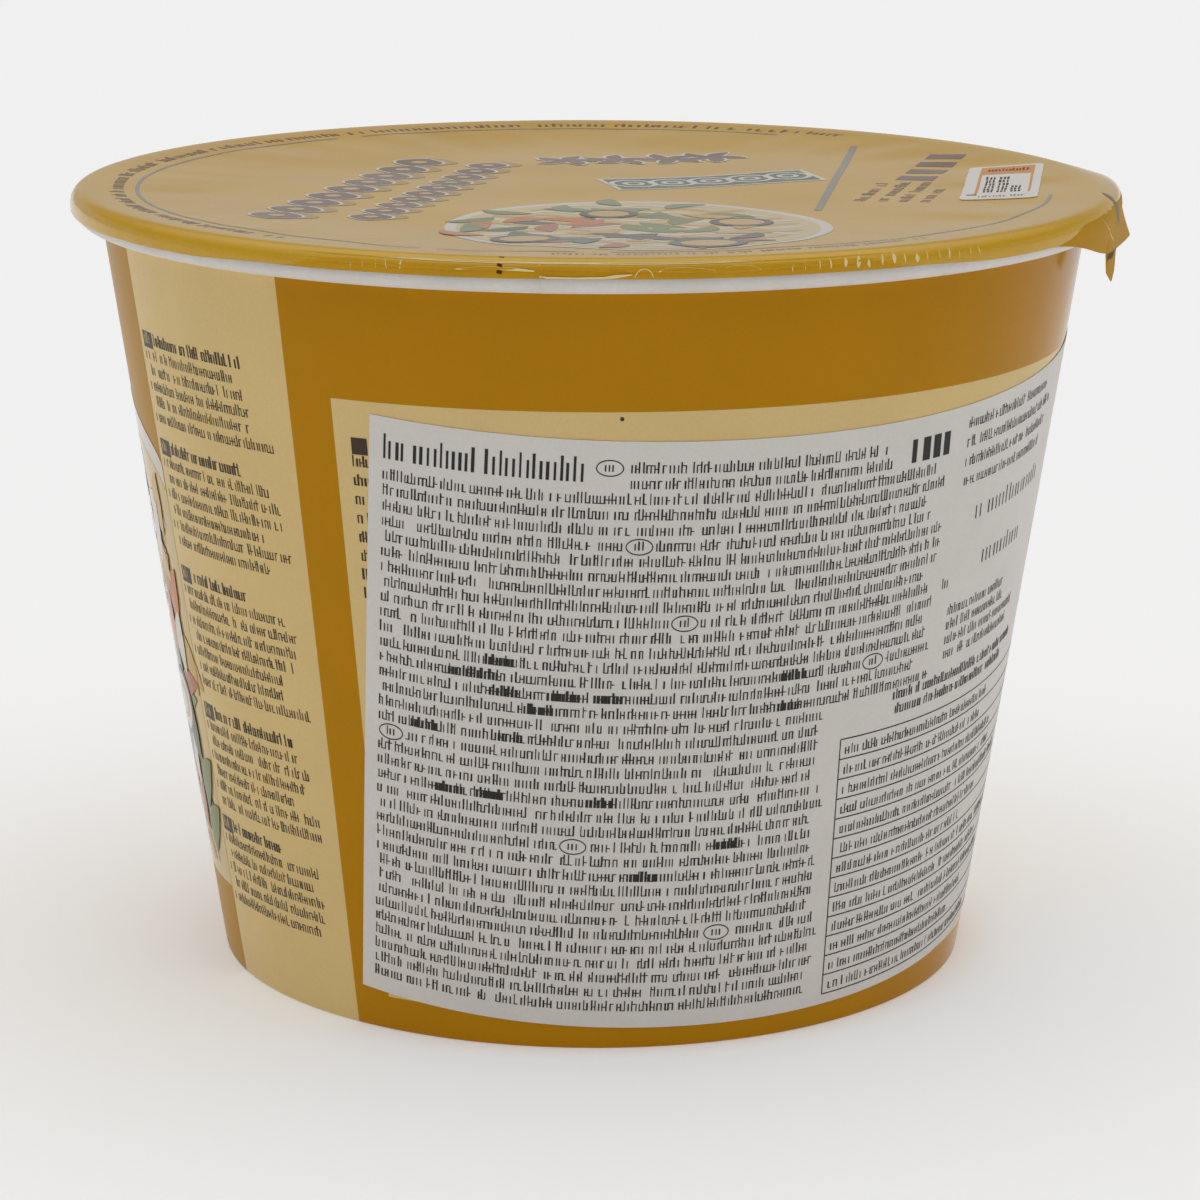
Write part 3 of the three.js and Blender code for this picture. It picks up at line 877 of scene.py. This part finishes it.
def printBack():  # scallops, leaves and round slices on the side away from the label
    p = picture
    sheet = newSheet("varnishedBoard")
    lift, start, end, foot = wallPrint["lift"], p["from"], p["to"], p["foot"]
    columns, rows = p["columns"], p["rows"]

    def topAt(turn):
        return p["ends"] + p["rise"] * math.sin(math.pi * (turn - start) / (end - start)) ** 0.7

    def turnAt(x):
        return start + math.degrees(x / wallRadius(foot))

    def inField(x, y, lift):  # x along the wall from the field's left end, measured at its foot
        return onWall(turnAt(x), y, lift)

    width = math.radians(end - start) * wallRadius(foot)
    turns = [mix(start, end, i / (columns - 1)) for i in range(columns)]
    flat = [(turn, mix(topAt(turn), foot, r / (rows - 1))) for r in range(rows) for turn in turns]
    addPatch(sheet, onWall, flat, gridFaces(rows, columns, False), "cream", lift * 0.6)
    for colour, low, high in p["rim"]:
        flat = [(turn, topAt(turn) - drop) for drop in (low, high) for turn in turns]
        addPatch(sheet, onWall, flat, gridFaces(2, columns, False), colour, lift + 0.02)
    size = p["scallop"]
    for row in range(p["scallopRows"]):
        for column in range(int(width / (2 * size)) + 1):
            x = size * 0.9 + column * 2 * size + (size if row % 2 else 0)
            y = p["scallopTop"] - row * size * 0.98
            if x > width - size * 0.9 or y > topAt(turnAt(x)) - 5:
                continue
            middle = "orange" if (row + column) % 3 == 0 else "sand"
            for ring, colour in ((7.4, "sand"), (5.4, middle), (3.4, "white")):
                addArc(sheet, inField, (x, y - size), ring, p["scallopLine"], 10, 170, colour, lift + 0.02)
    ratioX, ratioY, ratioSlice = p["leafRatios"]
    margin, (low, spread) = p["leafMargin"], p["leafLevels"]
    for i in range(p["leafCount"]):  # spread by two steady ratios, each at its own small lift
        x = margin + (width - 2 * margin) * ((0.5 + i * ratioX) % 1)
        y = low + spread * ((0.5 + i * ratioY) % 1)
        colour = p["upperInks" if y > p["upperFrom"] else "lowerInks"][i % 6]
        addLeaf(sheet, inField, (x, y), 200 * wave(i * 1.7, 2.2), *p["leafSize"], colour,
                lift + 0.03 + 0.005 * (8 * i % 21))
    low, spread = p["sliceLevels"]
    for i in range(p["sliceCount"]):
        at = (width * (i + 0.5) / p["sliceCount"], low + spread * ((i * ratioSlice) % 1))
        for radius, colour, rise in p["slice"]:
            addDisc(sheet, inField, at, radius, colour, lift + rise)
    for i in range(p["endLeafCount"]):  # both ends of the field are full of leaves
        y = mix(*p["endLevels"], i / p["endLeafCount"])
        colour = p["upperInks" if y > p["endUpperFrom"] else "lowerInks"][(i * 5 + i // 6) % 6]
        x = 4.5 + 3.5 * (i % 3)
        for side in (x, width - x):
            addLeaf(sheet, inField, (side, y), 90 + 60 * wave(i * 2.3, 4.4), *p["endLeafSize"], colour,
                    lift + 0.14 + 0.008 * (i % 7))
    finishSheet(sheet, "back_print")


printWall()
printBack()


# Print on the lid, in the view's own directions: x to the right, y away from the camera

lidPrint = {
    "ringRadius": 64.6, "ringLine": 0.55, "ringArcs": ((128, 250), (252, 268), (272, 352), (64, 124)),
    "rimRadius": 67.2, "lift": 0.03, "layer": 0.015,
    "rimLines": ((-62, 185, 1.5), (270, 70, 1.0)),  # start round the rim, strokes, height
    "chains": (((-44, -32), (-25, 34), 7.6), ((-31, -30), (-15, 30), 6.2)),  # start, end, bead
    "blossoms": (-4.0, 3.5, 11.0, 17.5), "blossomLevel": 31.5, "petals": 5, "petalSize": (5.4, 2.4),
    "band": ((2.6, 7.0), (31.0, 16.0)), "bandLength": 30.2, "bandWidth": 9.6, "bandEdge": 0.8,
    "bandRings": 5, "ringSizes": (3.2, 1.3), "ringPitch": 5.9, "ringWidth": 0.8,
    "rule": ((30.9, -18), (39.6, 46)), "ruleWidth": 1.1,
    "stoutLine": ((46.0, 10.0), (54.0, 38.0)), "stoutBars": 4, "stoutPitch": 7.0, "stoutSize": (4.2, 5.6),
    "smallLines": ((38.0, -10.0), (43.4, 12.0)),
    "medallion": (6.0, -36.0), "medallionRadius": 26.0,
    "strands": 13, "strandFoot": 0.78, "strandPitch": 0.13, "strandWidth": 1.3, "strandWave": 1.1,
    "leafCount": 54, "leafSize": (7.5, 3.2),
    "leafInks": ("green", "darkGreen", "sand", "green", "red", "green", "orange", "dark"),
    "slices": ((-15, -13, 4.6), (9, -17, 5.2), (14, 6, 4.4), (-4, 12, 4.0)),  # place from its middle, radius
}


def onLid(x, y, lift=0.0):
    a = math.radians(-photoTurn)
    u, v = x * math.cos(a) - y * math.sin(a), x * math.sin(a) + y * math.cos(a)
    return Vector((u, v, lidLevel(u, v) + lift))


def alongLine(start, end):  # x runs from start to end, y to the left of that line
    length = math.dist(start, end)
    dx, dy = (end[0] - start[0]) / length, (end[1] - start[1]) / length

    def place(x, y, lift):
        return onLid(start[0] + dx * x - dy * y, start[1] + dy * x + dx * y, lift)
    return place


def roundTheRim(radius):  # x runs round the rim, clockwise from the left, y points outwards
    def place(x, y, lift):
        a = math.radians(180) - x / radius
        return onLid((radius + y) * math.cos(a), (radius + y) * math.sin(a), lift)
    return place


def outlined(layer):  # a pale edge under a brown shape: colour, growth, lift
    return (("white", 1.0, layer), ("brown", 0.0, 2 * layer))


def printLid():
    p = lidPrint
    sheet = newSheet("lidFilm")
    lift, layer = p["lift"], p["layer"]
    for start, end in p["ringArcs"]:
        addArc(sheet, onLid, (0, 0), p["ringRadius"], p["ringLine"], start, end, "grey", lift)
    rim = roundTheRim(p["rimRadius"])
    for first, count, size in p["rimLines"]:
        addStrokes(sheet, rim, (first, -0.7), count, 1, "brown", lift, 71, Gaps=0.2, Ragged=0.0, Bars=0.4,
                   Pitch=0.75 * size, Width=0.33 * size, Height=size)
    for start, end, length in p["chains"]:
        place = alongLine(start, end)
        bead = length * 0.94
        for i in range(int(math.dist(start, end) / length)):
            x = i * length
            addLeaf(sheet, place, (x + 0.8, -1.4), 0, length, length + 1, "shade", lift, 0.0)
            for colour, wider, rise in outlined(layer):
                size = bead + wider
                addLeaf(sheet, place, (x - wider / 2, 0), 0, size, size, colour, lift + rise, 0.0)
            addDisc(sheet, place, (x + length * 0.47, 0), length * 0.16, "sand", lift + 3 * layer)
    for i, x in enumerate(p["blossoms"]):  # brown blossoms with a pale edge
        for colour, wider, rise in outlined(layer):
            for petal in range(p["petals"]):
                long, wide = p["petalSize"]
                addLeaf(sheet, onLid, (x, p["blossomLevel"] + i * 2.0), 360 / p["petals"] * petal + 20 * i,
                        long + wider / 2, wide + wider, colour, lift + rise, 0.1)
    band = alongLine(*p["band"])  # green band with pale rings
    length, width, edge = p["bandLength"], p["bandWidth"], p["bandEdge"]
    addBar(sheet, band, (-edge, 0), (length + edge, 0), width + 2 * edge, "white", lift)
    addBar(sheet, band, (0, 0), (length, 0), width, "darkGreen", lift + layer)
    for i in range(p["bandRings"]):
        at = (p["ringSizes"][0] + i * p["ringPitch"], 0)
        for ring in p["ringSizes"]:
            addArc(sheet, band, at, ring, p["ringWidth"], 0, 360, "white", lift + 2 * layer)
    addBar(sheet, onLid, *p["rule"], p["ruleWidth"], "grey", lift)
    block = alongLine(*p["stoutLine"])  # stout bars with small lines beside
    for i in range(p["stoutBars"]):
        x = 1 + i * p["stoutPitch"]
        addBar(sheet, block, (x, 0), (x + p["stoutSize"][0], 0), p["stoutSize"][1], "brown", lift)
    addStrokes(sheet, alongLine(*p["smallLines"]), (0, 0), 18, 4, "brown", lift, 81, Gaps=0.15, Ragged=0.4,
               Pitch=1.2, Width=0.5, Height=1.3, RowPitch=3.0)
    printMedallion(sheet)
    finishSheet(sheet, "lid_print")
    # this sheet carries painted highlights on the film's bends and folds, with print marks and a printed
    # stroke
    highlightSheet = newSheet("creasedFilm")
    printCreaseHighlights(highlightSheet)
    printTab(highlightSheet)
    finishSheet(highlightSheet, "lid_crease_highlights_and_marks")


def printMedallion(sheet):  # a round of wavy strands, leaves and slices
    p = lidPrint
    lift, layer, (mx, my), size = p["lift"], p["layer"], p["medallion"], p["medallionRadius"]
    addDisc(sheet, onLid, (mx, my), size, "white", lift)
    addDisc(sheet, onLid, (mx, my), size * 0.94, "cream", lift + layer)
    for row in range(p["strands"]):
        y = my - size * p["strandFoot"] + row * size * p["strandPitch"]
        half = math.sqrt(max(0, (size * 0.9) ** 2 - (y - my) ** 2)) - 1.5
        count = max(6, int(half * 1.4))
        path = [(mx - half + 2 * half * i / count, y + p["strandWave"] * math.sin(i * 1.1 + row))
                for i in range(count + 1)]
        widths = [p["strandWidth"]] * len(path)
        addRibbon(sheet, onLid, path, widths, "sand" if row % 2 else "white", lift + 2 * layer)
    for i in range(p["leafCount"]):
        a, r = i * 2.4, size * 0.8 * math.sqrt((i + 0.5) / p["leafCount"])
        x, y = mx + r * math.cos(a), my + r * math.sin(a)
        addLeaf(sheet, onLid, (x - 3, y), 97 * i % 360, *p["leafSize"], p["leafInks"][i % 8],
                lift + 2.5 * layer + 0.0006 * i)
    for x, y, r in p["slices"]:
        addDisc(sheet, onLid, (mx + x, my + y), r, "dark", lift + 5 * layer)
        addDisc(sheet, onLid, (mx + x, my + y), r * 0.72, "sand", lift + 5.8 * layer)


# the glint lines are painted highlights on the shoulder, the nick, the bubble and the crimps; the marks are
# print
creases = {
    "lift": 0.02, "shoulder": 44.0, "shoulderWidth": 0.22, "shoulderLift": 0.06,
    "shoulderTurns": ((-56.0, -17.0), (100.0, 190.0)),
    "nickTurn": -39.2, "nick": (47, 84), "nickWidth": 0.16, "nickLift": 0.05,
    "bubbleTurn": -29.0, "bubbleAt": 84, "bubbleRadius": 1.15, "bubbleLine": 0.12,
    # crimps, painted highlights on the film's small folds: from, to, count, size
    "crimps": ((-14.0, 10.0, 17, 1.0), (-58.5, -52.0, 5, 0.5), (-103.0, -92.0, 3, 0.4)),
    "markTurn": -43.1, "marks": ((14, 22), (48, 56), (64, 74)), "markWidth": 0.7,
    "tabLift": 0.04, "tabLength": 12.0,
    # lines on the tab, two painted highlights and a printed stroke: along the rim from its middle, down the
    # sheet, width
    "tabFoldHighlight": ((-10.5, 7.2, 0.08), (-12.3, 9.6, 0.18), (-13.3, 11.8, 0.1)),
    "tabFacetHighlight": ((-26.6, 5.2, 0.06), (-22.4, 7.2, 0.16), (-16.9, 8.0, 0.16), (-14.4, 9.8, 0.08)),
    "tabStroke": ((-10.5, 0.8, 0.4), (-13.0, 2.2, 1.5), (-14.0, 3.4, 2.2), (-12.7, 5.0, 2.4),
                  (-11.0, 6.6, 1.8), (-11.0, 8.0, 0.3)),
}
turnMm = math.radians(73.4)  # length of one degree round the skirt
bendMm = math.radians(lidBend)  # length of one degree of the turn over the brim


def offEdge(turn, s, lift):  # a point above the lid's edge, straight out of the sheet
    s = min(0.995, max(0.0, s))
    point = edgePoint(turn, s)
    along, down = edgePoint(turn + 0.2, s) - point, edgePoint(turn, s + 0.005) - point
    return point + down.cross(along).normalized() * lift


def onSkirt(x, y, lift):  # x along the skirt from the label's middle, y down it from the lid's flat
    turn = x / turnMm
    start = lidSizes["skirtStart"]
    return offEdge(turn, (y / bendMm - start) / (skirtEnd(turn) - start), lift)


def onTab(x, y, lift):  # x along the rim from the tab's middle, y down the sheet from where it starts to turn
    return offEdge(tab["middle"] + x / turnMm, y / creases["tabLength"], lift)


def printTab(sheet):  # painted highlights along a fold and a facet's edge, and the end of a printed stroke
    for line, colour in (("tabFoldHighlight", "glint"), ("tabFacetHighlight", "glint"), ("tabStroke", "grey")):
        addLine(sheet, onTab, creases[line], (1, 1), 0.4, colour, creases["tabLift"])


def printCreaseHighlights(sheet):  # painted highlights, pale lines where the film is sharply bent, and two print marks
    c = creases
    for start, end in c["shoulderTurns"]:
        cuts = math.ceil(end - start) * 2
        path, widths = [], []
        for i in range(cuts + 1):
            turn = mix(start, end, i / cuts)
            path.append((turn * turnMm, c["shoulder"] * bendMm))
            uneven = 1 + 0.5 * ringWave(turn, 60, 21.0)
            widths.append(c["shoulderWidth"] * smooth(min(i, cuts - i) / 14) * uneven + 0.01)
        addRibbon(sheet, onSkirt, path, widths, "glint", c["shoulderLift"])
    for line in sealLines:
        addLine(sheet, onSkirt, line, (turnMm, bendMm), 0.5, "glint", c["lift"])
    x, (high, low) = c["nickTurn"] * turnMm, c["nick"]
    start, end = (x, high * bendMm), (x + 0.1, low * bendMm)
    addBar(sheet, onSkirt, start, end, c["nickWidth"], "glint", c["nickLift"])
    bubble = (c["bubbleTurn"] * turnMm, c["bubbleAt"] * bendMm)
    addArc(sheet, onSkirt, bubble, c["bubbleRadius"], c["bubbleLine"], 190, 350, "glint", c["lift"])
    for start, end, count, size in c["crimps"]:
        for i in range(count):
            x = mix(start, end, (i + 0.4 * wave(i * 1.9, 3.1)) / count) * turnMm
            high, low = 50 + 14 * wave(i * 2.7, 5.5), 77 + 9 * wave(i * 3.3, 7.7)
            wide = size * max(0.14, 0.4 + 0.9 * wave(i * 1.3, 6.6))
            lean = 0.5 / size * wave(i * 0.9, 9.0)
            path = [(x + lean * (k / 4 - 0.5), mix(high, low, k / 4) * bendMm) for k in range(5)]
            widths = [wide * share for share in (0.1, 0.6, 1.0, 0.7, 0.2)]
            addRibbon(sheet, onSkirt, path, widths, "glint", c["lift"])
    x = c["markTurn"] * turnMm
    for high, low in c["marks"]:
        addBar(sheet, onSkirt, (x, high * bendMm), (x - 0.1, low * bendMm), c["markWidth"], "mark", c["lift"])


printLid()


# The sticker on the lid

stickerSizes = {
    "width": 10.8, "length": 33.5, "corner": 1.2, "radius": 58.8, "angle": -28.9, "turn": -12.6, "skew": 0.14,
    "lift": 0.13, "thickness": 0.1, "rings": 6, "cornerCuts": 6, "edgeStep": 1.5,
    "frame": (((-3.4, 15.4), (-3.4, -12.4), 0.4, "peach"), ((-3.4, 11.4), (4.2, 11.4), 8.0, "peach"),
              ((4.0, 8.0), (4.0, -10.0), 0.35, "peach"), ((-4.6, -12.2), (-3.2, -12.2), 0.9, "brown")),
    "lines": ((-2.3, 15.0), (-0.4, 15.0), (1.5, 9.0)), "linePitch": 2.4,  # place across, length
}


def onSticker(x, y, lift=0.0):  # x across and y along the sticker, from its middle
    s = stickerSizes
    y += s["skew"] * x  # the film drew it a little askew
    a, turn = math.radians(s["angle"]), math.radians(s["angle"] + s["turn"])
    u = s["radius"] * math.cos(a) + x * math.cos(turn) - y * math.sin(turn)
    v = s["radius"] * math.sin(a) + x * math.sin(turn) + y * math.cos(turn)
    return Vector((u, v, lidLevel(u, v) + s["lift"] + lift))


def makeSticker():
    s = stickerSizes
    corners = ((1, 1), (-1, 1), (-1, -1), (1, -1))

    def atCorner(number, degrees):
        side, end = corners[number % 4]
        a = math.radians(degrees)
        return (side * (s["width"] / 2 - s["corner"]) + s["corner"] * math.cos(a),
                end * (s["length"] / 2 - s["corner"]) + s["corner"] * math.sin(a))

    outline = []
    for number in range(4):
        step = 90 / s["cornerCuts"]
        outline += [atCorner(number, 90 * number + step * i) for i in range(s["cornerCuts"] + 1)]
        start, end = outline[-1], atCorner(number + 1, 90 * number + 90)
        cuts = max(2, int(math.dist(start, end) / s["edgeStep"]))
        outline += [between(start, end, i / cuts) for i in range(1, cuts)]
    rings, columns = s["rings"], len(outline)
    points = [onSticker(x * k / rings, y * k / rings) for k in range(1, rings + 1) for x, y in outline]
    points.append(onSticker(0, 0))
    faces = gridFaces(rings, columns, True) + fanFaces(len(points) - 1, columns)
    piece = makePiece("top_sticker", points, faces, [labelWhite], replaced="lid_sticker")
    thicken(piece, s["thickness"])


def printSticker():
    s = stickerSizes
    sheet = newSheet("labelPaper")
    for start, end, width, colour in s["frame"]:
        addBar(sheet, onSticker, start, end, width, colour, 0.02)
    addStrokes(sheet, onSticker, (-2.4, 10.4), 12, 1, "brown", 0.035, 91, Pitch=0.5, Gaps=0.1, Ragged=0.0,
               Width=0.26, Height=2.2)
    for i, (x, length) in enumerate(s["lines"]):  # blocks of small lines
        addStrokes(sheet, onSticker, (x, -9.6), 3, int(length / s["linePitch"]), "dark", 0.02, 93 + i,
                   Pitch=0.52, Width=0.3, Height=1.9, RowPitch=-s["linePitch"], **fullRow)
    addStrokes(sheet, onSticker, (-2.8, -14.8), 13, 1, "grey", 0.02, 97, Ragged=0.0, Height=1.2)
    finishSheet(sheet, "sticker_print")


makeSticker()
printSticker()


# Floor, light and camera

stage = {
    "floorSize": 16.0, "floorGlow": 0.17,
    # light: axis, where a ramp starts and ends on it, its strength at both
    "horizon": ("Y", -1.0, -0.2, 0.03, 0.56), "fade": ("Z", 0.14, 0.34, 1.0, 0.4),
    "above": ("Z", 0.35, 0.95, 0.0, 1.37),
    "lens": 124.92, "place": (1.06, -589.56, 190.52), "dip": 13.43, "roll": 0.24,  # camera
}


def makeStage():
    half = stage["floorSize"] / 2
    mesh = bpy.data.meshes.new("floor")
    corners = [(-half, -half, 0), (half, -half, 0), (half, half, 0), (-half, half, 0)]
    mesh.from_pydata(corners, [], [(0, 1, 2, 3)])
    material = bpy.data.materials.new("pale lit acrylic floor")
    material.use_nodes = True
    shader = material.node_tree.nodes["Principled BSDF"]
    looks = {"Base Color": linearColour("#f4f4f4"), "Roughness": 0.8, "Specular IOR Level": 0.0,
             "Emission Color": linearColour("#ffffff"), "Emission Strength": stage["floorGlow"]}
    for name, value in looks.items():
        shader.inputs[name].default_value = value
    mesh.materials.append(material)
    floor = addObject("floor", mesh)


def makeLight():
    world = bpy.data.worlds.new("studio")
    world.use_nodes = True
    tree = world.node_tree
    tree.nodes.clear()
    place = addNode(tree, "ShaderNodeTexCoord").outputs["Generated"]
    turned = addNode(tree, "ShaderNodeMapping", {
        "Vector": place, "Rotation": (0, 0, math.radians(photoTurn))})
    split = addNode(tree, "ShaderNodeSeparateXYZ", {"Vector": turned.outputs[0]})
    ramps = {}
    for name in ("horizon", "fade", "above"):
        axis, start, end, low, high = stage[name]
        ramps[name] = addNode(tree, "ShaderNodeMapRange", {
            "Value": split.outputs[axis], "From Min": start, "From Max": end, "To Min": low, "To Max": high},
            interpolation_type="SMOOTHSTEP").outputs[0]
    band = addNode(tree, "ShaderNodeMath", {0: ramps["horizon"], 1: ramps["fade"]}, operation="MULTIPLY")
    total = addNode(tree, "ShaderNodeMath", {0: band.outputs[0], 1: ramps["above"]}, operation="ADD")
    shine = addNode(tree, "ShaderNodeBackground", {"Strength": total.outputs[0]})
    addNode(tree, "ShaderNodeOutputWorld", {"Surface": shine.outputs[0]})
    bpy.context.scene.world = world


def makeCamera():
    data = bpy.data.cameras.new("camera")
    data.sensor_width = 36
    data.lens = stage["lens"]
    camera = addObject("camera", data)
    around = Matrix.Rotation(math.radians(-photoTurn), 4, "Z")
    dip = Matrix.Rotation(math.radians(90 - stage["dip"]), 4, "X")
    roll = Matrix.Rotation(math.radians(stage["roll"]), 4, "Z")
    camera.matrix_world = around @ Matrix.Translation(Vector(stage["place"]) * mm) @ dip @ roll
    bpy.context.scene.camera = camera
    bpy.context.scene.view_settings.view_transform = "Standard"


makeStage()
makeLight()
makeCamera()
print("floor, light and camera made")
